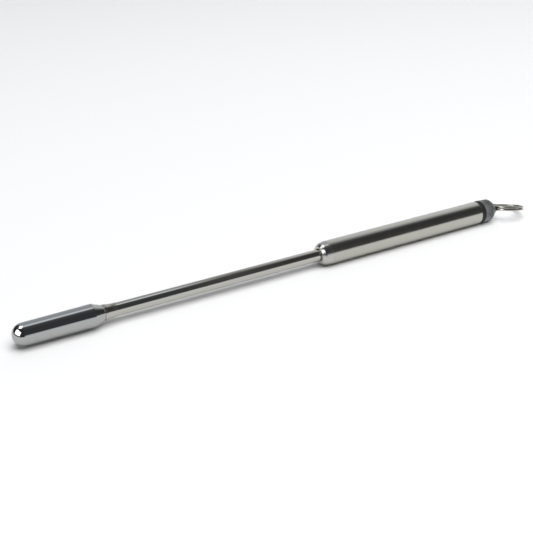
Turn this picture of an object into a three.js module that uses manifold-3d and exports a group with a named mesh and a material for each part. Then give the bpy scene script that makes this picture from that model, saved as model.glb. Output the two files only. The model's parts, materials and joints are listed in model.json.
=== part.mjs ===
// A pocket magnetic pickup tool: a magnet head on a polished rod that slides out of and turns in
// a steel handle tube, with a knurled screw cap and a split key ring at the other end.
// Millimetres. +X runs from the magnet's tip to the key ring, +Z is up. The tool lies on a bench
// at Z = 0, and X = 0 is the middle of the handle tube.
import * as THREE from 'three';
import { mergeGeometries, mergeVertices } from 'three/addons/utils/BufferGeometryUtils.js';
import Module from 'manifold-3d';

const wasm = await Module();
wasm.setup();

// ---- driving dimensions ----
const HANDLE_RADIUS = 5.0;
const HANDLE_WALL = 0.8;
const HANDLE_LENGTH = 78;
const NOSE_LENGTH = 4.7;
const NOSE_MOUTH_RADIUS = 3.5;
const ROD_RADIUS = 2.5;
const ROD_WALL = 0.6;
const ROD_EXPOSED = 87.8;
const STUD_RADIUS = 1.2;
const FERRULE_LENGTH = 5.0;
const FERRULE_RADIUS = 3.05;
const HEAD_LENGTH = 33.8;
const HEAD_REAR_RADIUS = 4.45;
const DOME_RADIUS = 4.25;
const HEAD_CONE_LENGTH = 3.9;
const HEAD_NECK_RADIUS = 2.95;
const HEAD_WALL = 0.55;
const MAGNET_LENGTH = 14;
const BUMPER_THICKNESS = 1.6;
const INSERT_LENGTH = 7;
const THREAD_RADIUS = 2.95;
const THREAD_DEPTH = 0.35;
const CAP_LENGTH = 7.5;
const CAP_CONE_LENGTH = 2.1;
const CAP_REAR_RADIUS = 3.2;
const GASKET_THICKNESS = 1.5;
const RING_OUTER_RADIUS = 7.75;
const RING_WIRE = 1.05;
const RING_TURNS = 2;
const EYE_HOLE_RADIUS = 1.3;
const EYE_RADIUS = 1.9;
const EYE_THICKNESS = 1.5;
const EYE_STANDOFF = 1.6;
const EYE_ROLL_DEG = -17;
const RING_DROOP_DEG = 10;

// ---- clearances ----
const FACE_GAP = 0.3;
const PRESS_GAP = 0.05;
const SLIDE_GAP = 0.1;

// ---- facets round a turned piece ----
const OUTER_FACETS = 32;
const INNER_FACETS = 28;
const EYE_FACETS = 24;

// ---- stations along X ----
const TUBE_FRONT = -HANDLE_LENGTH / 2;
const TUBE_REAR = HANDLE_LENGTH / 2;
const NOSE_FRONT = TUBE_FRONT - NOSE_LENGTH;
const FERRULE_REAR = NOSE_FRONT - ROD_EXPOSED;
const FERRULE_FRONT = FERRULE_REAR - FERRULE_LENGTH;
const HEAD_REAR = FERRULE_FRONT - FACE_GAP;
const HEAD_SHOULDER = HEAD_REAR - HEAD_CONE_LENGTH;
const TIP = HEAD_REAR - HEAD_LENGTH;
const DOME_BASE = TIP + DOME_RADIUS;
const INSERT_FRONT = TUBE_REAR - INSERT_LENGTH;
const CAP_FRONT = TUBE_REAR + GASKET_THICKNESS;
const CAP_REAR = CAP_FRONT + CAP_LENGTH;
const CAP_SHOULDER = CAP_REAR - CAP_CONE_LENGTH;
const EYE_X = CAP_REAR + EYE_STANDOFF;

const AXIS_Z = HANDLE_RADIUS;
const BORE_RADIUS = HANDLE_RADIUS - HANDLE_WALL;
const ROD_BORE = ROD_RADIUS - ROD_WALL;

// ---- materials ----
function finish(color, roughness, metalness) {
  return new THREE.MeshStandardMaterial({ color, roughness, metalness });
}
const POLISHED_STEEL = finish(0xc9c6bd, 0.16, 1);
const SATIN_STEEL = finish(0xb9b6ac, 0.28, 1);
const HEAD_STEEL = finish(0xaeb3b8, 0.08, 1);
const GREY_KNURL = finish(0x56595a, 0.45, 0.8);
const BLACK_RUBBER = finish(0x151617, 0.75, 0);
const BRASS = finish(0xb49a55, 0.3, 1);
const NYLON = finish(0xe8e4d8, 0.6, 0);
const MAGNET_NICKEL = finish(0xa8a9a6, 0.3, 1);
const SPRING_STEEL = finish(0x8f8f8c, 0.3, 1);

const tool = new THREE.Group();
tool.position.set(0, 0, AXIS_Z);

function add(name, geometry, material, parent = tool) {
  const mesh = new THREE.Mesh(geometry, material);
  mesh.name = name;
  parent.add(mesh);
  return mesh;
}

// ---- turned pieces: the outline is a list of [x, radius] round the cut half-section ----
function signedArea(outline) {
  let area = 0;
  outline.forEach(([x, r], i) => {
    const [nextX, nextR] = outline[(i + 1) % outline.length];
    area += (x * nextR - nextX * r) / 2;
  });
  return area;
}

function turned(outline, facets) {
  const onAxis = outline[0][1] === 0 && outline[outline.length - 1][1] === 0;
  const ordered = signedArea(outline) > 0 ? [...outline].reverse() : [...outline];
  if (!onAxis) ordered.push(ordered[0]);
  const corner = 1 / Math.cos(Math.PI / facets);
  const points = ordered.map(([x, r]) => new THREE.Vector2(r * corner, x));
  const geometry = new THREE.LatheGeometry(points, facets, Math.PI / facets);
  geometry.rotateZ(-Math.PI / 2);
  return geometry;
}

function ring(front, rear, inner, outer, facets = INNER_FACETS) {
  return turned([[front, inner], [front, outer], [rear, outer], [rear, inner]], facets);
}

function plug(front, rear, radius, facets = INNER_FACETS) {
  return turned([[front, 0], [front, radius], [rear, radius], [rear, 0]], facets);
}

// Points of an arc round [centreX, centreR] in the outline's plane, from one angle to another.
function arc(centreX, centreR, radius, fromDeg, toDeg, steps) {
  return Array.from({ length: steps + 1 }, (_, i) => {
    const angle = THREE.MathUtils.degToRad(fromDeg + ((toDeg - fromDeg) * i) / steps);
    return [centreX + radius * Math.cos(angle), centreR + radius * Math.sin(angle)];
  });
}

// ---- solids for cutting ----
function toSolid(geometry) {
  const bare = new THREE.BufferGeometry();
  bare.setAttribute('position', geometry.getAttribute('position').clone());
  if (geometry.index) bare.setIndex(geometry.index.clone());
  const merged = mergeVertices(bare, 1e-4);
  return new wasm.Manifold(new wasm.Mesh({
    numProp: 3,
    vertProperties: new Float32Array(merged.getAttribute('position').array),
    triVerts: new Uint32Array(merged.index.array),
  }));
}

function toGeometry(solid) {
  const mesh = solid.getMesh();
  const geometry = new THREE.BufferGeometry();
  geometry.setAttribute('position', new THREE.BufferAttribute(mesh.vertProperties, 3));
  geometry.setIndex(new THREE.BufferAttribute(mesh.triVerts, 1));
  geometry.computeVertexNormals();
  return geometry;
}

// ---- handle ----
function addHandle() {
  add('handle_tube', ring(TUBE_FRONT, TUBE_REAR, BORE_RADIUS, HANDLE_RADIUS, OUTER_FACETS), SATIN_STEEL);

  const spigotLength = 7;
  const spigotRear = TUBE_FRONT + spigotLength;
  const noseBore = ROD_RADIUS + 0.25;
  const bushSeat = 3.5;
  const ogive = [
    [NOSE_FRONT, NOSE_MOUTH_RADIUS],
    [NOSE_FRONT + 0.8, 4.2],
    [NOSE_FRONT + 1.8, 4.7],
    [NOSE_FRONT + 3.0, 4.93],
    [NOSE_FRONT + 4.1, HANDLE_RADIUS],
  ];
  add('nose_collar', turned([
    [NOSE_FRONT, noseBore],
    ...ogive,
    [TUBE_FRONT - FACE_GAP, HANDLE_RADIUS],
    [TUBE_FRONT - FACE_GAP, BORE_RADIUS - PRESS_GAP],
    [spigotRear, BORE_RADIUS - PRESS_GAP],
    [spigotRear, bushSeat],
    [NOSE_FRONT + 3.2, bushSeat],
    [NOSE_FRONT + 3.2, noseBore],
  ], OUTER_FACETS), POLISHED_STEEL);

  const wiperFront = NOSE_FRONT + 3.5;
  const wiperSection = 0.4;
  add('nose_wiper_ring', turned(
    arc(wiperFront + wiperSection, ROD_RADIUS + 0.5, wiperSection, 0, 360, 8).slice(0, -1),
    INNER_FACETS,
  ), BLACK_RUBBER);

  const bushFront = wiperFront + 2 * wiperSection + FACE_GAP;
  add('nose_bush', ring(bushFront, spigotRear - 0.4, ROD_RADIUS + SLIDE_GAP, bushSeat - SLIDE_GAP), BRASS);
  return spigotRear;
}

// ---- rear end of the handle: threaded insert for the cap and the rod's rubber stop ----
function addHandleRear() {
  add('cap_insert', ring(
    INSERT_FRONT, TUBE_REAR - 0.2, THREAD_RADIUS + SLIDE_GAP, BORE_RADIUS - PRESS_GAP,
  ), BRASS);
  const bumperRear = INSERT_FRONT - FACE_GAP;
  add('end_bumper', ring(
    bumperRear - BUMPER_THICKNESS, bumperRear, 1.4, BORE_RADIUS - SLIDE_GAP,
  ), BLACK_RUBBER);
}

// ---- guide: slides with the rod but does not turn with it ----
function addGuide(stopRear) {
  const washer = 0.5;
  const sleeveLength = 6.4;
  const bore = ROD_RADIUS + SLIDE_GAP;
  const outer = BORE_RADIUS - SLIDE_GAP;
  const frontWasher = stopRear + FACE_GAP;
  add('guide_washer_front', ring(frontWasher, frontWasher + washer, bore, outer), SPRING_STEEL);

  const sleeveFront = frontWasher + washer + FACE_GAP;
  const sleeveRear = sleeveFront + sleeveLength;
  const seatRadius = outer - 0.75;
  const shoulder = 1.2;
  add('guide_sleeve', turned([
    [sleeveFront, bore],
    [sleeveFront, outer],
    [sleeveFront + shoulder, outer],
    [sleeveFront + shoulder, seatRadius],
    [sleeveRear - shoulder, seatRadius],
    [sleeveRear - shoulder, outer],
    [sleeveRear, outer],
    [sleeveRear, bore],
  ], INNER_FACETS), NYLON);

  // An open band of spring steel that presses outwards on the tube's bore.
  const springInner = seatRadius + 0.2;
  const springOuter = outer + 0.02;
  const openingDeg = 40;
  const springLength = sleeveLength - 2 * shoulder - 2 * FACE_GAP;
  const start = THREE.MathUtils.degToRad(openingDeg / 2);
  const end = 2 * Math.PI - start;
  const band = new THREE.Shape();
  band.absarc(0, 0, springOuter, start, end, false);
  band.absarc(0, 0, springInner, end, start, true);
  const spring = new THREE.ExtrudeGeometry(band, {
    depth: springLength, bevelEnabled: false, curveSegments: INNER_FACETS,
  });
  spring.rotateY(Math.PI / 2);
  spring.translate(sleeveFront + shoulder + FACE_GAP, 0, 0);
  add('friction_spring', spring, SPRING_STEEL);

  const rearWasher = sleeveRear + FACE_GAP;
  add('guide_washer_rear', ring(rearWasher, rearWasher + washer, bore, outer), SPRING_STEEL);
  return rearWasher + washer;
}

// ---- rod ----
function addRod(stopFront, stopRear, guideRear) {
  const clipFront = guideRear + FACE_GAP;
  const clipThickness = 0.6;
  const rodRear = clipFront + clipThickness + 1.0;
  const rodFront = FERRULE_FRONT + 1.2;
  add('rod_tube', ring(rodFront, rodRear, ROD_BORE, ROD_RADIUS, OUTER_FACETS), POLISHED_STEEL);
  add('stop_collar', ring(
    stopFront, stopRear, ROD_RADIUS + PRESS_GAP, BORE_RADIUS - 2 * SLIDE_GAP,
  ), BRASS);
  add('rear_clip', ring(
    clipFront, clipFront + clipThickness, ROD_RADIUS + PRESS_GAP, BORE_RADIUS - 0.5,
  ), SPRING_STEEL);
  const sunk = 0.2;
  const rearPlugLength = 5.8;
  const frontPlugLength = 8.8;
  const plugRadius = ROD_BORE - PRESS_GAP;
  add('rod_rear_plug', plug(rodRear - sunk - rearPlugLength, rodRear - sunk, plugRadius), SATIN_STEEL);
  add('rod_front_plug', ring(
    rodFront + sunk, rodFront + sunk + frontPlugLength, STUD_RADIUS + PRESS_GAP, plugRadius,
  ), SATIN_STEEL);
}

// ---- neck and magnet head ----
function addNeck() {
  const flare = [0, 0.15, 0.35, 0.6, 0.85, 1].map((part) => {
    const tail = ROD_RADIUS + 0.12;
    return [
      FERRULE_FRONT + 0.5 + part * (FERRULE_LENGTH - 0.5),
      tail + (FERRULE_RADIUS - tail) * (1 - part) ** 2,
    ];
  });
  const bore = ROD_RADIUS + PRESS_GAP;
  add('neck_ferrule', turned([
    [FERRULE_FRONT, STUD_RADIUS + 0.1],
    [FERRULE_FRONT, FERRULE_RADIUS],
    ...flare,
    [FERRULE_REAR, bore],
    [FERRULE_FRONT + 0.9, bore],
    [FERRULE_FRONT + 0.9, STUD_RADIUS + 0.1],
  ], OUTER_FACETS), POLISHED_STEEL);

  add('head_stud', plug(HEAD_REAR - 5.5, FERRULE_FRONT + 8, STUD_RADIUS, INNER_FACETS), SPRING_STEEL);
}

function addHead() {
  const chamberRadius = DOME_RADIUS - HEAD_WALL;
  const spigotRadius = chamberRadius - PRESS_GAP;
  const bodyFront = DOME_BASE + FACE_GAP;
  const chamberRear = HEAD_SHOULDER - 3.2;
  const cornerArc = 0.7;
  add('head_body', turned([
    [bodyFront, chamberRadius],
    [bodyFront, DOME_RADIUS],
    [HEAD_SHOULDER - cornerArc, HEAD_REAR_RADIUS],
    [HEAD_SHOULDER, HEAD_REAR_RADIUS - 0.12],
    [HEAD_SHOULDER + 0.6, HEAD_REAR_RADIUS - 0.4],
    [HEAD_REAR, HEAD_NECK_RADIUS],
    [HEAD_REAR, STUD_RADIUS + PRESS_GAP],
    [chamberRear, STUD_RADIUS + PRESS_GAP],
    [chamberRear, chamberRadius],
  ], OUTER_FACETS), HEAD_STEEL);

  const spigotRear = bodyFront + 3;
  const dome = arc(DOME_BASE, 0, DOME_RADIUS, 180, 90, 9);
  dome[0] = [TIP, 0];
  add('pole_tip', turned([
    ...dome,
    [DOME_BASE, spigotRadius],
    [spigotRear, spigotRadius],
    [spigotRear, 0],
  ], OUTER_FACETS), HEAD_STEEL);

  const magnetFront = spigotRear + FACE_GAP;
  const magnetRear = magnetFront + MAGNET_LENGTH;
  const sleeveWall = 0.5;
  add('magnet_sleeve', ring(
    magnetFront, magnetRear, chamberRadius - PRESS_GAP - sleeveWall, chamberRadius - PRESS_GAP,
  ), BRASS);
  add('magnet', plug(
    magnetFront, magnetRear, chamberRadius - 2 * PRESS_GAP - sleeveWall,
  ), MAGNET_NICKEL);
  const backRear = magnetRear + FACE_GAP + 2;
  add('back_plate', plug(magnetRear + FACE_GAP, backRear, chamberRadius - PRESS_GAP), SATIN_STEEL);
  add('magnet_spring_pad', plug(
    backRear + FACE_GAP, chamberRear - FACE_GAP, chamberRadius - 2 * PRESS_GAP,
  ), BLACK_RUBBER);
}

// ---- knurled screw cap, its sealing ring and the eye for the key ring ----
function addCap() {
  const screwFront = TUBE_REAR - 5.4;
  const screwRear = CAP_FRONT + 2.6;
  const screwBore = 1.5;
  const ventRadius = 0.8;
  const bore = THREAD_RADIUS + PRESS_GAP;
  add('cap_gasket', ring(
    TUBE_REAR + 0.05, CAP_FRONT - 0.05, bore, HANDLE_RADIUS - 0.2, OUTER_FACETS,
  ), BLACK_RUBBER);

  const stemRadius = 1.25;
  const stemFront = CAP_REAR - 2.6;
  const bandRear = CAP_FRONT + 0.4;
  const grooveRear = bandRear + 0.3;
  const grooveRadius = HANDLE_RADIUS - 0.3;
  const shoulderRadius = HANDLE_RADIUS - 0.25;
  add('end_cap', turned([
    [CAP_FRONT, bore],
    [CAP_FRONT, HANDLE_RADIUS - 0.1],
    [CAP_FRONT + 0.1, HANDLE_RADIUS],
    [bandRear, HANDLE_RADIUS],
    [bandRear, grooveRadius],
    [grooveRear, grooveRadius],
    [grooveRear, HANDLE_RADIUS],
    [CAP_SHOULDER - 0.5, shoulderRadius],
    [CAP_SHOULDER, shoulderRadius - 0.25],
    [CAP_REAR, CAP_REAR_RADIUS],
    [CAP_REAR, stemRadius + PRESS_GAP],
    [stemFront, stemRadius + PRESS_GAP],
    [stemFront, ventRadius],
    [screwRear + FACE_GAP, ventRadius],
    [screwRear + FACE_GAP, bore],
  ], OUTER_FACETS), GREY_KNURL);

  add('cap_screw', turned([
    [screwFront, screwBore],
    [screwFront, THREAD_RADIUS - THREAD_DEPTH],
    [screwFront + 0.4, THREAD_RADIUS],
    [screwRear, THREAD_RADIUS],
    [screwRear, screwBore],
  ], INNER_FACETS), BRASS);

  // The eye is a flat round lug on a stem, drilled across. Its hole is rolled round the tool's axis.
  const eyeGroup = new THREE.Group();
  eyeGroup.rotation.x = THREE.MathUtils.degToRad(EYE_ROLL_DEG);
  tool.add(eyeGroup);
  const disc = new THREE.CylinderGeometry(EYE_RADIUS, EYE_RADIUS, EYE_THICKNESS, EYE_FACETS);
  disc.translate(EYE_X, 0, 0);
  const stem = plug(stemFront + FACE_GAP, EYE_X - EYE_HOLE_RADIUS - 0.3, stemRadius, EYE_FACETS);
  const hole = new THREE.CylinderGeometry(
    EYE_HOLE_RADIUS, EYE_HOLE_RADIUS, 2 * EYE_THICKNESS, EYE_FACETS,
  );
  hole.translate(EYE_X, 0, 0);
  const behindCap = ring(0, CAP_REAR + 0.2, stemRadius, 2 * EYE_RADIUS, EYE_FACETS);
  const eye = toSolid(disc).subtract(toSolid(hole)).subtract(toSolid(behindCap)).add(toSolid(stem));
  add('ring_eye', toGeometry(eye), SATIN_STEEL, eyeGroup);

  // The split ring hangs in the eye's hole, tipped down towards the bench.
  const ringGroup = new THREE.Group();
  ringGroup.position.set(EYE_X, 0, 0);
  ringGroup.rotation.y = THREE.MathUtils.degToRad(RING_DROOP_DEG);
  eyeGroup.add(ringGroup);
  const centreRadius = RING_OUTER_RADIUS - RING_WIRE / 2;
  const halfWire = RING_WIRE / 2;
  const halfStack = (RING_TURNS * RING_WIRE) / 2;
  const section = [
    [halfStack - halfWire / 2, centreRadius + halfWire],
    [-halfStack + halfWire / 2, centreRadius + halfWire],
    [-halfStack, centreRadius + halfWire / 2],
    [-halfStack, centreRadius - halfWire / 2],
    [-halfStack + halfWire / 2, centreRadius - halfWire],
    [halfStack - halfWire / 2, centreRadius - halfWire],
    [halfStack, centreRadius - halfWire / 2],
    [halfStack, centreRadius + halfWire / 2],
  ];
  const splitRing = turned(section, OUTER_FACETS);
  splitRing.rotateY(Math.PI / 2);
  splitRing.translate(centreRadius, 0, 0);
  add('key_ring', splitRing, SPRING_STEEL, ringGroup);
}

const spigotRear = addHandle();
addHandleRear();
const stopFront = spigotRear + FACE_GAP;
const stopRear = stopFront + 2.5;
const guideRear = addGuide(stopRear);
addRod(stopFront, stopRear, guideRear);
addNeck();
addHead();
addCap();

export default tool;
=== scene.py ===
"""Looks of the magnetic pickup tool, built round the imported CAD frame. Lengths are in metres."""

import json
import math

import bmesh
import bpy
from mathutils import Matrix, Vector


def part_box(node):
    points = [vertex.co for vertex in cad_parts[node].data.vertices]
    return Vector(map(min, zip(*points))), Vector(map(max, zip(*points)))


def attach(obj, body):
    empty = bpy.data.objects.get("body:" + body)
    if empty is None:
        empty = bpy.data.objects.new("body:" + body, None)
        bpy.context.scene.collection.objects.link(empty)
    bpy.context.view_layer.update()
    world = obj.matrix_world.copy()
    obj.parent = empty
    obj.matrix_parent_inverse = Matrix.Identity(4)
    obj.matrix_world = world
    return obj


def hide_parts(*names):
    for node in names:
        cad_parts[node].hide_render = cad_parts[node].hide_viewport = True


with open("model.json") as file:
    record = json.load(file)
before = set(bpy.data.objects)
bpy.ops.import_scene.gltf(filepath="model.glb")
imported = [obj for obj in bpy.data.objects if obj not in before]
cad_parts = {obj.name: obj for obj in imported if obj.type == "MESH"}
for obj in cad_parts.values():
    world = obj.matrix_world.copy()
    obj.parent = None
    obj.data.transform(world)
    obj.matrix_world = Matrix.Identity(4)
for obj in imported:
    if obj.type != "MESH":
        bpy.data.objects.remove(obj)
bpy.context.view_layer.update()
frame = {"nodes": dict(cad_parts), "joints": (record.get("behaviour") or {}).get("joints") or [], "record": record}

MM = 0.001
TURN = 2 * math.pi

# ---- places and sizes taken from the frame ----
TUBE_LOW, TUBE_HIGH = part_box("handle_tube")
TUBE_FRONT, TUBE_REAR = TUBE_LOW[0], TUBE_HIGH[0]
HANDLE_R = (TUBE_HIGH[2] - TUBE_LOW[2]) / 2
AXIS_Z = (TUBE_HIGH[2] + TUBE_LOW[2]) / 2
NOSE_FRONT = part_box("nose_collar")[0][0]
ROD_LOW, ROD_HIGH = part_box("rod_tube")
ROD_R = (ROD_HIGH[2] - ROD_LOW[2]) / 2
ROD_REAR = ROD_HIGH[0]
FERRULE_LOW, FERRULE_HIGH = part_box("neck_ferrule")
FERRULE_FRONT, FERRULE_REAR = FERRULE_LOW[0], FERRULE_HIGH[0]
FERRULE_R = (FERRULE_HIGH[2] - FERRULE_LOW[2]) / 2
HEAD_LOW, HEAD_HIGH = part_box("head_body")
HEAD_REAR = HEAD_HIGH[0]
HEAD_R = (HEAD_HIGH[2] - HEAD_LOW[2]) / 2
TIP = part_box("pole_tip")[0][0]
CAP_LOW, CAP_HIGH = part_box("end_cap")
CAP_FRONT, CAP_REAR = CAP_LOW[0], CAP_HIGH[0]
SCREW_LOW, SCREW_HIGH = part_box("cap_screw")
SCREW_R = (SCREW_HIGH[2] - SCREW_LOW[2]) / 2

swing = next(joint for joint in frame["joints"] if joint["name"] == "ring_swing")
EYE_CENTRE = Vector(swing["pos_m"])
EYE_ACROSS = Vector(swing["axis"]).normalized()
RING_REACH = sum(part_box("key_ring"), Vector()) / 2 - EYE_CENTRE

# ---- sizes that a box doesn't show, the same as the CAD's ----
HANDLE_WALL = 0.8 * MM
HANDLE_BORE_R = HANDLE_R - HANDLE_WALL
SPIGOT_LENGTH = 7 * MM
NOSE_MOUTH_R = 3.5 * MM
BUSH_SEAT_R = 3.5 * MM
BUSH_SEAT_DEPTH = 3.2 * MM
ROD_WALL = 0.6 * MM
DOME_R = 4.25 * MM
HEAD_CONE = 3.9 * MM
HEAD_WALL = 0.55 * MM
NECK_R = 2.95 * MM
CAP_CONE = 2.1 * MM
CAP_REAR_R = 3.2 * MM
BAND_REAR = CAP_FRONT + 0.4 * MM
GROOVE_REAR = BAND_REAR + 0.3 * MM
PRESS_GAP = 0.05 * MM
EYE_HOLE_R = 1.3 * MM
EYE_R = 1.9 * MM
EYE_THICKNESS = 1.5 * MM
EYE_STEM_R = 1.25 * MM
RING_WIRE = 1.05 * MM

# ---- fineness of the meshes ----
AROUND = 192
ARC_STEPS = 5
FINE_ARC_STEPS = 8
SHARP_EDGE = math.radians(35)
ON_AXIS = 1e-7


# ---- meshes ----
def new_object(name, mesh):
    piece = bpy.data.objects.new(name, mesh)
    bpy.context.scene.collection.objects.link(piece)
    return piece


def mesh_object(name, vertices, faces):
    """A mesh piece, shaded smooth apart from its sharp edges."""
    mesh = bpy.data.meshes.new(name)
    mesh.from_pydata(vertices, [], faces)
    mesh.validate()
    mesh.update()
    piece = new_object(name, mesh)
    mesh.shade_smooth()
    mesh.set_sharp_from_angle(angle=SHARP_EDGE)
    return piece


def rounded(corners, steps=ARC_STEPS):
    """An outline of (x, radius) points whose corners (x, radius, fillet) are rounded by arcs."""
    outline = []
    count = len(corners)
    for i, (x, r, fillet) in enumerate(corners):
        here = Vector((x, r))
        if fillet <= 0:
            outline.append(here)
            continue
        before = Vector(corners[(i - 1) % count][:2]) - here
        after = Vector(corners[(i + 1) % count][:2]) - here
        inward, outward = before.normalized(), after.normalized()
        half = inward.angle(outward) / 2
        reach = min(fillet / math.tan(half), before.length * 0.49, after.length * 0.49)
        centre = here + (inward + outward).normalized() * reach / math.cos(half)
        start = here + inward * reach - centre
        sweep = start.angle_signed(here + outward * reach - centre)
        for step in range(steps + 1):
            outline.append(centre + Matrix.Rotation(-sweep * step / steps, 2) @ start)
    return [(p[0], p[1]) for p in outline]


TOOL_AXIS = (Vector((0, 0, AXIS_Z)), Vector((1, 0, 0)), Vector((0, 1, 0)))


def lathe(name, outline, closed, around=AROUND, shape=None, axis=TOOL_AXIS):
    """Turns an outline of (distance along, radius) round an axis, which is its origin, its
    direction and a direction across it. shape(x, r, angle) may move a radius."""
    origin, along, side = axis
    up = along.cross(side)
    vertices, rows = [], []
    for x, r in outline:
        if r < ON_AXIS:
            rows.append([len(vertices)] * around)
            vertices.append(origin + along * x)
            continue
        rows.append(list(range(len(vertices), len(vertices) + around)))
        for i in range(around):
            angle = TURN * i / around
            radius = shape(x, r, angle) if shape else r
            spoke = side * math.cos(angle) + up * math.sin(angle)
            vertices.append(origin + along * x + spoke * radius)
    pairs = list(zip(rows, rows[1:]))
    if closed:
        pairs.append((rows[-1], rows[0]))
    faces = []
    for low, high in pairs:
        for i in range(around):
            j = (i + 1) % around
            face = [low[i], low[j], high[j], high[i]]
            corners = list(dict.fromkeys(face))
            if len(corners) > 2:
                faces.append(corners)
    piece = mesh_object(name, vertices, faces)
    face_out(piece)
    return piece


def face_out(piece):
    """Turns all faces outward."""
    shell = bmesh.new()
    shell.from_mesh(piece.data)
    bmesh.ops.recalc_face_normals(shell, faces=shell.faces)
    shell.to_mesh(piece.data)
    shell.free()


# ---- materials: noise scales are per metre, and heights are of bumps ----
GRIND_MARKS = (2400, 150, 150)
STEEL_PATCHES = (160, 260, 260)
GRIND_HEIGHT = 0.02 * MM
DULL_CLOUD = 400
GRAIN_HEIGHT = 0.03 * MM
GRAIN_ROUGHNESS_SPREAD = 0.08


def new_material(name):
    material = bpy.data.materials.new(name)
    material.use_nodes = True
    nodes = material.node_tree.nodes
    return material, nodes, material.node_tree.links, nodes["Principled BSDF"]


def stretched_noise(nodes, links, scale, detail=4.0, rough=0.6):
    """Noise in the piece's own coordinates, with its own scale along each axis (per metre)."""
    coordinates = nodes.new("ShaderNodeTexCoord")
    mapping = nodes.new("ShaderNodeMapping")
    mapping.inputs["Scale"].default_value = scale
    noise = nodes.new("ShaderNodeTexNoise")
    noise.inputs["Scale"].default_value = 1.0
    noise.inputs["Detail"].default_value = detail
    noise.inputs["Roughness"].default_value = rough
    links.new(coordinates.outputs["Object"], mapping.inputs["Vector"])
    links.new(mapping.outputs["Vector"], noise.inputs["Vector"])
    return noise.outputs["Fac"]


def spread(nodes, links, value, low, high, start=0.3, end=0.7):
    """Maps a value onto the range low to high."""
    node = nodes.new("ShaderNodeMapRange")
    node.inputs["From Min"].default_value = start
    node.inputs["From Max"].default_value = end
    node.inputs["To Min"].default_value = low
    node.inputs["To Max"].default_value = high
    links.new(value, node.inputs["Value"])
    return node.outputs["Result"]


def tint(nodes, links, value, dark, light):
    """A colour between dark and light."""
    mix = nodes.new("ShaderNodeMix")
    mix.data_type = "RGBA"
    mix.inputs["A"].default_value = (*dark, 1)
    mix.inputs["B"].default_value = (*light, 1)
    links.new(value, mix.inputs["Factor"])
    return mix.outputs["Result"]


def blend_colours(nodes, links, factor, first, second):
    """Goes from the first colour at 0 to the second at 1."""
    mix = nodes.new("ShaderNodeMix")
    mix.data_type = "RGBA"
    links.new(factor, mix.inputs["Factor"])
    links.new(first, mix.inputs["A"])
    links.new(second, mix.inputs["B"])
    return mix.outputs["Result"]


def bump(nodes, links, shader, value, strength, height):
    """Raises the shader's surface by the value."""
    node = nodes.new("ShaderNodeBump")
    node.inputs["Strength"].default_value = strength
    node.inputs["Distance"].default_value = height
    links.new(value, node.inputs["Height"])
    links.new(node.outputs["Normal"], shader.inputs["Normal"])


def steel(name, dark, light, smooth, rough, grind=0.15):
    """Ground steel: fine marks round the axis, and a roughness that wanders a little along it."""
    material, nodes, links, shader = new_material(name)
    shader.inputs["Metallic"].default_value = 1.0
    marks = stretched_noise(nodes, links, GRIND_MARKS, detail=6, rough=0.7)
    patches = stretched_noise(nodes, links, STEEL_PATCHES, detail=5)
    links.new(tint(nodes, links, patches, dark, light), shader.inputs["Base Color"])
    links.new(spread(nodes, links, patches, smooth, rough), shader.inputs["Roughness"])
    bump(nodes, links, shader, marks, grind, GRIND_HEIGHT)
    return material


def dull(name, dark, light, roughness, metallic=0.0, grain=3000, relief=0.3):
    """Rubber, plastic or an oxide finish with a fine grain."""
    material, nodes, links, shader = new_material(name)
    shader.inputs["Metallic"].default_value = metallic
    speckle = stretched_noise(nodes, links, (grain, grain, grain), detail=6, rough=0.7)
    cloud = stretched_noise(nodes, links, (DULL_CLOUD, DULL_CLOUD, DULL_CLOUD), detail=4)
    links.new(tint(nodes, links, cloud, dark, light), shader.inputs["Base Color"])
    smooth, rough = roughness - GRAIN_ROUGHNESS_SPREAD, roughness + GRAIN_ROUGHNESS_SPREAD
    links.new(spread(nodes, links, speckle, smooth, rough), shader.inputs["Roughness"])
    bump(nodes, links, shader, speckle, relief, GRAIN_HEIGHT)
    return material


def plain_colour(nodes, colour):
    node = nodes.new("ShaderNodeRGB")
    node.outputs[0].default_value = (*colour, 1)
    return node.outputs[0]


def axis_distance(nodes, links, position):
    """The distance of a position from the tool's axis."""
    flattened = nodes.new("ShaderNodeVectorMath")
    flattened.operation = "MULTIPLY_ADD"
    links.new(position, flattened.inputs[0])
    flattened.inputs[1].default_value = (0, 1, 1)
    flattened.inputs[2].default_value = (0, 0, -AXIS_Z)
    length = nodes.new("ShaderNodeVectorMath")
    length.operation = "LENGTH"
    links.new(flattened.outputs[0], length.inputs[0])
    return length.outputs["Value"]


def cap_finish():
    """Dark grey oxide with painted shade: near black in the knurl's grooves and on the plain band in front of it,
    so the knurl's crests keep the oxide colour and look lighter."""
    painted_shade_black = (0.05, 0.055, 0.056)
    groove_share = 0.25
    groove_r = HANDLE_R - 0.45 * MM
    crest_r = HANDLE_R - 0.1 * MM
    band_blur = 0.1 * MM

    material = dull("grey_knurl", (0.19, 0.20, 0.20), (0.40, 0.41, 0.40), 0.36, 0.7)
    nodes, links = material.node_tree.nodes, material.node_tree.links
    base_colour = nodes["Principled BSDF"].inputs["Base Color"]
    oxide = base_colour.links[0].from_socket
    # Painted shade: the knurl's grooves get this near black colour by their depth, so the crests look lighter.
    dark = plain_colour(nodes, painted_shade_black)
    position = nodes.new("ShaderNodeTexCoord").outputs["Object"]
    radius = axis_distance(nodes, links, position)
    crest = spread(nodes, links, radius, groove_share, 1, groove_r, crest_r)
    groove_shaded_oxide = blend_colours(nodes, links, crest, dark, oxide)
    split = nodes.new("ShaderNodeSeparateXYZ")
    links.new(position, split.inputs["Vector"])
    # Painted shade: the plain band in front of the knurl is painted near black as well.
    knurled = spread(nodes, links, split.outputs["X"], 0, 1, GROOVE_REAR, GROOVE_REAR + band_blur)
    links.new(blend_colours(nodes, links, knurled, dark, groove_shaded_oxide), base_colour)
    return material


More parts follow.
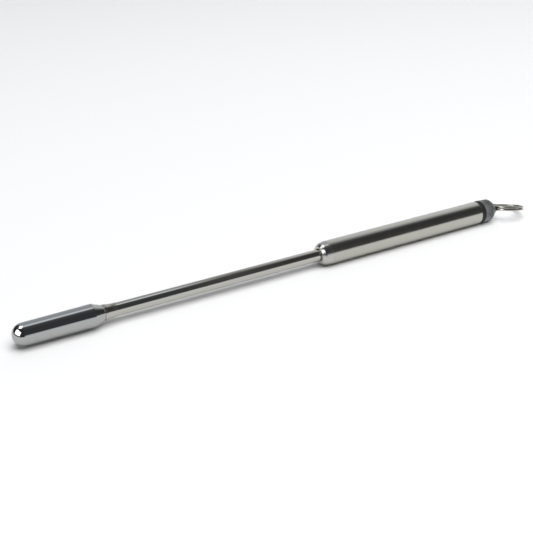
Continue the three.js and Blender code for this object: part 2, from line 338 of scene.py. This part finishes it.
MATERIALS = {
    "satin_steel": steel("satin_steel", (0.43, 0.425, 0.385), (0.47, 0.465, 0.425), 0.13, 0.19),
    "polished_steel": steel("polished_steel", (0.44, 0.43, 0.395), (0.48, 0.47, 0.435), 0.09, 0.14),
    "nose_steel": steel("nose_steel", (0.45, 0.445, 0.42), (0.49, 0.485, 0.46), 0.2, 0.27),
    "head_steel": steel("head_steel", (0.375, 0.38, 0.375), (0.41, 0.415, 0.41), 0.06, 0.10, 0.12),
    "ring_steel": steel("ring_steel", (0.33, 0.32, 0.29), (0.42, 0.41, 0.37), 0.12, 0.2, 0.1),
    "spring_steel": steel("spring_steel", (0.36, 0.36, 0.36), (0.45, 0.45, 0.44), 0.2, 0.32),
    "nickel": steel("nickel", (0.50, 0.49, 0.46), (0.56, 0.55, 0.52), 0.15, 0.25),
    "brass": steel("brass", (0.55, 0.40, 0.17), (0.66, 0.50, 0.25), 0.16, 0.3),
    "black_rubber": dull("black_rubber", (0.010, 0.010, 0.011), (0.02, 0.02, 0.021), 0.6),
    "grey_knurl": cap_finish(),
    "nylon": dull("nylon", (0.72, 0.69, 0.60), (0.80, 0.77, 0.68), 0.5, 0.0, 1500, 0.1),
}


def dress(piece, body, slot, *nodes, look=None):
    """Gives a piece its body and the material named by its record slot, and hides the CAD nodes it stands for.
    The material has the slot's name unless another look is given."""
    piece.data.materials.clear()
    piece.data.materials.append(MATERIALS[look or slot])
    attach(piece, body)
    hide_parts(*nodes)
    return piece


# ---- handle: outlines are (x, radius, fillet) ----
def make_tube():
    tube = lathe("handle_tube_skin", rounded([
        (TUBE_FRONT, HANDLE_BORE_R, 0.05 * MM),
        (TUBE_FRONT, HANDLE_R, 0),
        (TUBE_REAR, HANDLE_R, 0.15 * MM),
        (TUBE_REAR, HANDLE_BORE_R, 0.1 * MM),
    ]), closed=True)
    dress(tube, "handle", "satin_steel", "handle_tube")


def make_nose():
    """The nose collar: a bullet-shaped front with a flat rim, and a spigot inside the tube."""
    rod_bore = ROD_R + 0.12 * MM
    seam = TUBE_FRONT - 0.04 * MM
    spigot_r = HANDLE_BORE_R - PRESS_GAP
    spigot_rear = TUBE_FRONT + SPIGOT_LENGTH
    seat_front = NOSE_FRONT + BUSH_SEAT_DEPTH
    collar = lathe("nose_collar_skin", rounded([
        (NOSE_FRONT, rod_bore, 0.15 * MM),
        (NOSE_FRONT, NOSE_MOUTH_R, 0.12 * MM),
        (NOSE_FRONT + 1.4 * MM, 4.6 * MM, 2 * MM),
        (NOSE_FRONT + 3.9 * MM, HANDLE_R, 3 * MM),
        (seam, HANDLE_R, 0),
        (seam, spigot_r, 0),
        (spigot_rear, spigot_r, 0.2 * MM),
        (spigot_rear, BUSH_SEAT_R, 0.1 * MM),
        (seat_front, BUSH_SEAT_R, 0),
        (seat_front, rod_bore, 0),
    ], steps=FINE_ARC_STEPS), closed=True)
    dress(collar, "handle", "polished_steel", "nose_collar", look="nose_steel")


# ---- rod, neck and head ----
def make_rod():
    front, bore = ROD_LOW[0], ROD_R - ROD_WALL
    rod = lathe("rod_tube_skin", rounded([
        (front, bore, 0),
        (front, ROD_R, 0.1 * MM),
        (ROD_REAR, ROD_R, 0.2 * MM),
        (ROD_REAR, bore, 0.1 * MM),
    ]), closed=True)
    dress(rod, "rod", "polished_steel", "rod_tube")


def make_ferrule():
    """The flare from the rod out to the head, on a parabola."""
    stud_bore = 1.3 * MM
    rod_seat_r = ROD_R + 0.02 * MM
    rod_seat_front = FERRULE_FRONT + 0.9 * MM
    seam = HEAD_REAR + 0.06 * MM
    lip = FERRULE_FRONT + 0.6 * MM
    tail_r = ROD_R + 0.1 * MM
    flare_steps = 14
    flare = []
    for step in range(flare_steps + 1):
        part = step / flare_steps
        x = lip + part * (FERRULE_REAR - lip)
        flare.append((x, tail_r + (FERRULE_R - tail_r) * (1 - part) ** 2, 0))
    ferrule = lathe("neck_ferrule_skin", rounded([
        (seam, stud_bore, 0),
        (seam, FERRULE_R, 0),
        *flare,
        (FERRULE_REAR, rod_seat_r, 0),
        (rod_seat_front, rod_seat_r, 0),
        (rod_seat_front, stud_bore, 0),
    ]), closed=True)
    dress(ferrule, "rod", "polished_steel", "neck_ferrule")


def make_head():
    """The head's body, which is hollow for the magnet, and the dome that plugs its front."""
    stud_bore = 1.25 * MM
    shoulder = HEAD_REAR - HEAD_CONE
    dome_base = TIP + DOME_R
    chamber_r = DOME_R - HEAD_WALL
    chamber_rear = shoulder - 3.2 * MM
    body_front = dome_base + 0.008 * MM
    body = lathe("head_body_skin", rounded([
        (body_front, chamber_r, 0),
        (body_front, DOME_R, 0),
        (shoulder, HEAD_R, 1.2 * MM),
        (HEAD_REAR, NECK_R, 0),
        (HEAD_REAR, stud_bore, 0),
        (chamber_rear, stud_bore, 0),
        (chamber_rear, chamber_r, 0),
    ], steps=FINE_ARC_STEPS), closed=True)
    dress(body, "rod", "head_steel", "head_body")

    spigot_r = chamber_r - PRESS_GAP
    spigot_rear = body_front + 3.2 * MM
    dome_steps = 32
    outline = []
    for step in range(dome_steps + 1):
        angle = math.pi / 2 * step / dome_steps
        outline.append((dome_base - DOME_R * math.cos(angle), DOME_R * math.sin(angle)))
    outline += [(dome_base, spigot_r), (spigot_rear, spigot_r), (spigot_rear, 0)]
    tip = lathe("pole_tip_skin", outline, closed=False)
    dress(tip, "rod", "head_steel", "pole_tip")


# ---- cap ----
KNURL_TEETH = 28
KNURL_DEPTH = 0.3 * MM
KNURL_SLANT = math.tan(math.radians(32))
KNURL_RUN_OUT = 0.3 * MM
KNURL_FLANK = 1.5
KNURL_ROWS = 44
KNURL_STEPS_PER_TOOTH = 10
GROOVE_DEPTH = 0.3 * MM
CAP_TAPER = 0.25 * MM
SCREW_BORE_R = 1.5 * MM
THREAD_PITCH = 0.8 * MM
THREAD_DEPTH = 0.35 * MM
THREAD_ROWS_PER_PITCH = 8


def triangle_wave(value):
    """A wave of period 1 that runs from 0 up to 1 and back."""
    return 1 - abs(2 * (value % 1) - 1)


def make_cap():
    """The end cap: plain band, groove, diamond knurl and conical rear."""
    shoulder = CAP_REAR - CAP_CONE
    front_r, rear_r = HANDLE_R, HANDLE_R - CAP_TAPER
    groove_r = front_r - GROOVE_DEPTH
    knurl_front, knurl_rear = GROOVE_REAR + 0.15 * MM, shoulder - 0.35 * MM
    outside = 4 * MM
    screw_bore, screw_seat = SCREW_R + PRESS_GAP, CAP_FRONT + 2.9 * MM
    stem_bore, stem_seat = 1.3 * MM, CAP_REAR - 2.6 * MM
    pilot_bore = 0.8 * MM

    def knurl(x, r, angle):
        if r < outside or not knurl_front < x < knurl_rear:
            return r
        run_out = min((x - knurl_front) / KNURL_RUN_OUT, (knurl_rear - x) / KNURL_RUN_OUT, 1)
        around = KNURL_TEETH * angle / TURN
        along = KNURL_TEETH * KNURL_SLANT * (x - knurl_front) / (TURN * HANDLE_R)
        peak = min(triangle_wave(around + along), triangle_wave(around - along))
        return r - KNURL_DEPTH * run_out * (1 - min(1, KNURL_FLANK * peak))

    knurled = []
    for row in range(KNURL_ROWS + 1):
        part = row / KNURL_ROWS
        x = knurl_front + part * (knurl_rear - knurl_front)
        knurled.append((x, front_r + part * (rear_r - front_r), 0))
    cap = lathe("end_cap_skin", rounded([
        (CAP_FRONT, screw_bore, 0),
        (CAP_FRONT, front_r, 0.12 * MM),
        (BAND_REAR, front_r, 0.05 * MM),
        (BAND_REAR, groove_r, 0.05 * MM),
        (GROOVE_REAR, groove_r, 0.05 * MM),
        (GROOVE_REAR, front_r, 0.08 * MM),
        *knurled,
        (shoulder, rear_r, 0.5 * MM),
        (CAP_REAR, CAP_REAR_R, 0.5 * MM),
        (CAP_REAR, stem_bore, 0),
        (stem_seat, stem_bore, 0),
        (stem_seat, pilot_bore, 0),
        (screw_seat, pilot_bore, 0),
        (screw_seat, screw_bore, 0),
    ]), closed=True, around=KNURL_TEETH * KNURL_STEPS_PER_TOOTH, shape=knurl)
    dress(cap, "end_cap", "grey_knurl", "end_cap")


def make_gasket():
    """The black ring between the tube and the cap, with rounded outer edges."""
    face_gap = 0.03 * MM
    front, rear = TUBE_REAR + face_gap, CAP_FRONT - face_gap
    inner, outer = SCREW_R + PRESS_GAP, HANDLE_R - 0.2 * MM
    gasket = lathe("cap_gasket_skin", rounded([
        (front, inner, 0),
        (front, outer, 0.25 * MM),
        (rear, outer, 0.25 * MM),
        (rear, inner, 0),
    ]), closed=True)
    dress(gasket, "cap_seal", "black_rubber", "cap_gasket")


def make_cap_screw():
    """The cap's hollow screw, with a real right-hand helical thread."""
    front, rear = SCREW_LOW[0], SCREW_HIGH[0]
    rows = math.ceil((rear - front) / THREAD_PITCH * THREAD_ROWS_PER_PITCH)
    rear_fade = 0.3 * MM
    rounding = 1e-6

    def thread(x, r, angle):
        if r < SCREW_R - rounding or x > CAP_FRONT:
            return r
        turns = (x - front) / THREAD_PITCH
        fade = min(turns, (CAP_FRONT - x) / rear_fade, 1)
        return r - THREAD_DEPTH * max(fade, 0) * triangle_wave(turns + angle / TURN)

    outline = [(front, SCREW_BORE_R), (front, SCREW_R - THREAD_DEPTH)]
    for row in range(1, rows):
        outline.append((front + (rear - front) * row / rows, SCREW_R))
    outline += [(rear, SCREW_R), (rear, SCREW_BORE_R)]
    screw = lathe("cap_screw_skin", outline, closed=True, around=96, shape=thread)
    dress(screw, "end_cap", "brass", "cap_screw")


# ---- eye and split ring ----
def make_eye():
    """A drilled round lug on a stem, with its edges rounded."""
    half = EYE_THICKNESS / 2
    soft = 0.3 * MM
    lug = lathe("ring_eye_skin", rounded([
        (-half, EYE_HOLE_R, soft),
        (-half, EYE_R, soft),
        (half, EYE_R, soft),
        (half, EYE_HOLE_R, soft),
    ]), closed=True, around=72, axis=(EYE_CENTRE, EYE_ACROSS, TOOL_AXIS[1]))
    stem_front = CAP_REAR - 2.2 * MM
    stem_rear = EYE_CENTRE.x - EYE_HOLE_R - 0.12 * MM
    stem = lathe("eye_stem", rounded([
        (stem_front, 0, 0),
        (stem_front, EYE_STEM_R, 0.1 * MM),
        (stem_rear, EYE_STEM_R, 0.1 * MM),
        (stem_rear, 0, 0),
    ]), closed=False, around=48)
    joined = lug.modifiers.new("stem", "BOOLEAN")
    joined.operation = "UNION"
    joined.solver = "EXACT"
    joined.object = stem
    with bpy.context.temp_override(object=lug, active_object=lug):
        bpy.ops.object.modifier_apply(modifier=joined.name)
    bpy.data.objects.remove(stem)
    dress(lug, "end_cap", "satin_steel", "ring_eye")


RING_STEPS = 260
WIRE_SIDES = 16
WIRE_FLATTENING = 0.93
WIRE_END_TAPER = (0.55, 0.85, 0.97)
JOG_AT = math.radians(150)
JOG_HALF = math.radians(16)


def make_ring():
    """Two turns of wire that lie on each other, stepping from one layer to the next at a jog."""
    centre = EYE_CENTRE + RING_REACH
    centre_r = RING_REACH.length
    out = RING_REACH / centre_r
    normal = out.cross(EYE_ACROSS)
    wire_r = RING_WIRE / 2
    start = JOG_AT + JOG_HALF
    finish = JOG_AT - JOG_HALF + 2 * TURN
    vertices, faces = [], []
    for step in range(RING_STEPS + 1):
        angle = start + (finish - start) * step / RING_STEPS
        along_jog = max(-1, min(1, (angle - (JOG_AT + TURN)) / JOG_HALF))
        layer = math.sin(along_jog * math.pi / 2) * wire_r
        radial = out * math.cos(angle) + EYE_ACROSS * math.sin(angle)
        from_end = min(step, RING_STEPS - step)
        taper = WIRE_END_TAPER[from_end] if from_end < len(WIRE_END_TAPER) else 1
        for side in range(WIRE_SIDES):
            turn = TURN * side / WIRE_SIDES
            outward = math.cos(turn) * wire_r * taper
            upward = math.sin(turn) * wire_r * taper * WIRE_FLATTENING
            vertices.append(centre + radial * (centre_r + outward) + normal * (layer + upward))
    for step in range(RING_STEPS):
        for side in range(WIRE_SIDES):
            a = step * WIRE_SIDES + side
            b = step * WIRE_SIDES + (side + 1) % WIRE_SIDES
            faces.append((a, b, b + WIRE_SIDES, a + WIRE_SIDES))
    faces.append(tuple(range(WIRE_SIDES)))
    last = RING_STEPS * WIRE_SIDES
    faces.append(tuple(last + side for side in reversed(range(WIRE_SIDES))))
    ring = mesh_object("split_ring", vertices, faces)
    face_out(ring)
    dress(ring, "key_ring", "ring_steel", "key_ring")


# ---- studio ----
FLOOR_HALF = 15.0


def make_floor():
    material, _, _, shader = new_material("studio_floor")
    shader.inputs["Base Color"].default_value = (0.86, 0.86, 0.86, 1)
    shader.inputs["Roughness"].default_value = 0.9
    shader.inputs["Specular IOR Level"].default_value = 0.2
    corners = [(x * FLOOR_HALF, y * FLOOR_HALF, 0) for x, y in ((-1, -1), (1, -1), (1, 1), (-1, 1))]
    floor = mesh_object("studio_floor", corners, [(0, 1, 2, 3)])
    floor.data.materials.append(material)


# Brightness of the light tent by angle round the X axis: 0 is level on the -Y side, 90 overhead.
# Each row is for one lean of the direction along +X, with its own tint, and directions between
# two rows are blended.
TENT = [
    (0.30, (0.94, 0.99, 1.06),
     [(0, 1.0), (9, 0.95), (13, 0.075), (60, 0.07), (86, 0.11), (95, 0.30), (102, 1.3),
      (112, 1.25), (118, 0.62), (150, 0.60), (180, 0.8)]),
    (0.40, (1.0, 1.0, 1.0),
     [(0, 1.0), (9, 0.95), (14, 0.11), (60, 0.10), (95, 0.13), (115, 0.23), (132, 0.43),
      (152, 0.72), (180, 0.85)]),
    (0.52, (0.99, 1.0, 1.02),
     [(0, 1.0), (9, 0.95), (13, 0.09), (60, 0.058), (84, 0.07), (96, 0.18), (110, 0.56),
      (127, 0.92), (150, 0.95), (180, 0.9)]),
]
# Directions that lean this much towards -X fade to the tone beyond the magnet's tip.
BEYOND_TIP = (0.05, 0.05, 0.052)
FADE_FROM, FADE_TO = 0.0, -0.25


def tent_ramp(nodes, links, value, bands, colour):
    """A colour ramp over half a turn, from (degrees, brightness) pairs."""
    ramp = nodes.new("ShaderNodeValToRGB")
    links.new(value, ramp.inputs["Fac"])
    elements = ramp.color_ramp.elements
    elements[0].position, elements[1].position = 0, 1
    for place, _ in bands[1:-1]:
        elements.new(place / 180)
    for element, (_, brightness) in zip(elements, bands):
        element.color = (*(brightness * share for share in colour), 1)
    return ramp.outputs["Color"]


def make_world():
    """A light tent: bright along the horizon and from overhead to the +Y side, dark between them
    on the -Y side and beyond the magnet's end."""
    world = bpy.data.worlds.new("studio_world")
    bpy.context.scene.world = world
    world.use_nodes = True
    nodes, links = world.node_tree.nodes, world.node_tree.links
    coordinates = nodes.new("ShaderNodeTexCoord")
    split = nodes.new("ShaderNodeSeparateXYZ")
    links.new(coordinates.outputs["Generated"], split.inputs["Vector"])
    along, across, up = (split.outputs[name] for name in "XYZ")
    front = nodes.new("ShaderNodeMath")
    front.operation = "MULTIPLY"
    front.inputs[1].default_value = -1
    links.new(across, front.inputs[0])
    angle = nodes.new("ShaderNodeMath")
    angle.operation = "ARCTAN2"
    links.new(up, angle.inputs[0])
    links.new(front.outputs[0], angle.inputs[1])
    turn = spread(nodes, links, angle.outputs[0], 0, 1, 0, math.pi)

    ramps = [tent_ramp(nodes, links, turn, bands, tone) for _, tone, bands in TENT]
    colour = ramps[0]
    for low, high, ramp in zip(TENT, TENT[1:], ramps[1:]):
        factor = spread(nodes, links, along, 0, 1, low[0], high[0])
        colour = blend_colours(nodes, links, factor, colour, ramp)

    ahead = spread(nodes, links, along, 1, 0, FADE_TO, FADE_FROM)
    colour = blend_colours(nodes, links, ahead, colour, plain_colour(nodes, BEYOND_TIP))
    links.new(colour, nodes["Background"].inputs["Color"])


# Each light: name, place, size, watts, and whether it is only seen reflected.
LIGHTS = [
    ("key", (0.1, -0.45, 1.55), (1.7, 1.7), 35, False),
    ("tip_panel", (-1.20, -0.09, 0.61), (1.35, 0.85), 14, True),
    ("high_panel", (-0.43, 0.435, 1.18), (0.6, 0.6), 4.5, True),
]


def area_light(name, place, size, watts, only_reflected):
    """A soft panel that faces the tool. It lights dull surfaces, or it is only seen reflected."""
    lamp = bpy.data.lights.new(name, "AREA")
    lamp.shape = "RECTANGLE"
    lamp.size, lamp.size_y = size
    lamp.energy = watts
    light = bpy.data.objects.new(name, lamp)
    light.location = place
    light.rotation_euler = (-Vector(place)).to_track_quat("-Z", "Y").to_euler()
    light.visible_glossy = only_reflected
    light.visible_diffuse = not only_reflected
    bpy.context.scene.collection.objects.link(light)


CAMERA_AZIMUTH = math.radians(30.4)
CAMERA_ELEVATION = math.radians(27.1)
CAMERA_DISTANCE = 0.4065
CAMERA_AIM = Vector((-0.0620, 0.01025, 0.0))
CAMERA_LENS = 67.5
CAMERA_SENSOR = 36


def make_camera():
    """The camera looks down, towards +X and +Y, at a point near the tool's middle."""
    forward = Vector((
        math.cos(CAMERA_ELEVATION) * math.sin(CAMERA_AZIMUTH),
        math.cos(CAMERA_ELEVATION) * math.cos(CAMERA_AZIMUTH),
        -math.sin(CAMERA_ELEVATION),
    ))
    data = bpy.data.cameras.new("camera")
    data.sensor_width = CAMERA_SENSOR
    data.lens = CAMERA_LENS
    camera = bpy.data.objects.new("camera", data)
    camera.location = CAMERA_AIM - forward * CAMERA_DISTANCE
    camera.rotation_euler = forward.to_track_quat("-Z", "Y").to_euler()
    bpy.context.scene.collection.objects.link(camera)
    bpy.context.scene.camera = camera


def dress_cad_nodes():
    """Gives the CAD nodes that stay in view the same materials, by their record slots."""
    slots = {row["node"]: row["material_slot"] for row in frame["record"]["subparts"]}
    for node, piece in frame["nodes"].items():
        for holder in piece.material_slots:
            holder.material = MATERIALS[slots[node]]


make_camera()
make_tube()
make_nose()
make_rod()
make_ferrule()
make_head()
make_cap()
make_gasket()
make_cap_screw()
make_eye()
make_ring()
dress_cad_nodes()

make_floor()
make_world()
for light in LIGHTS:
    area_light(*light)
bpy.context.scene.view_settings.view_transform = "Standard"
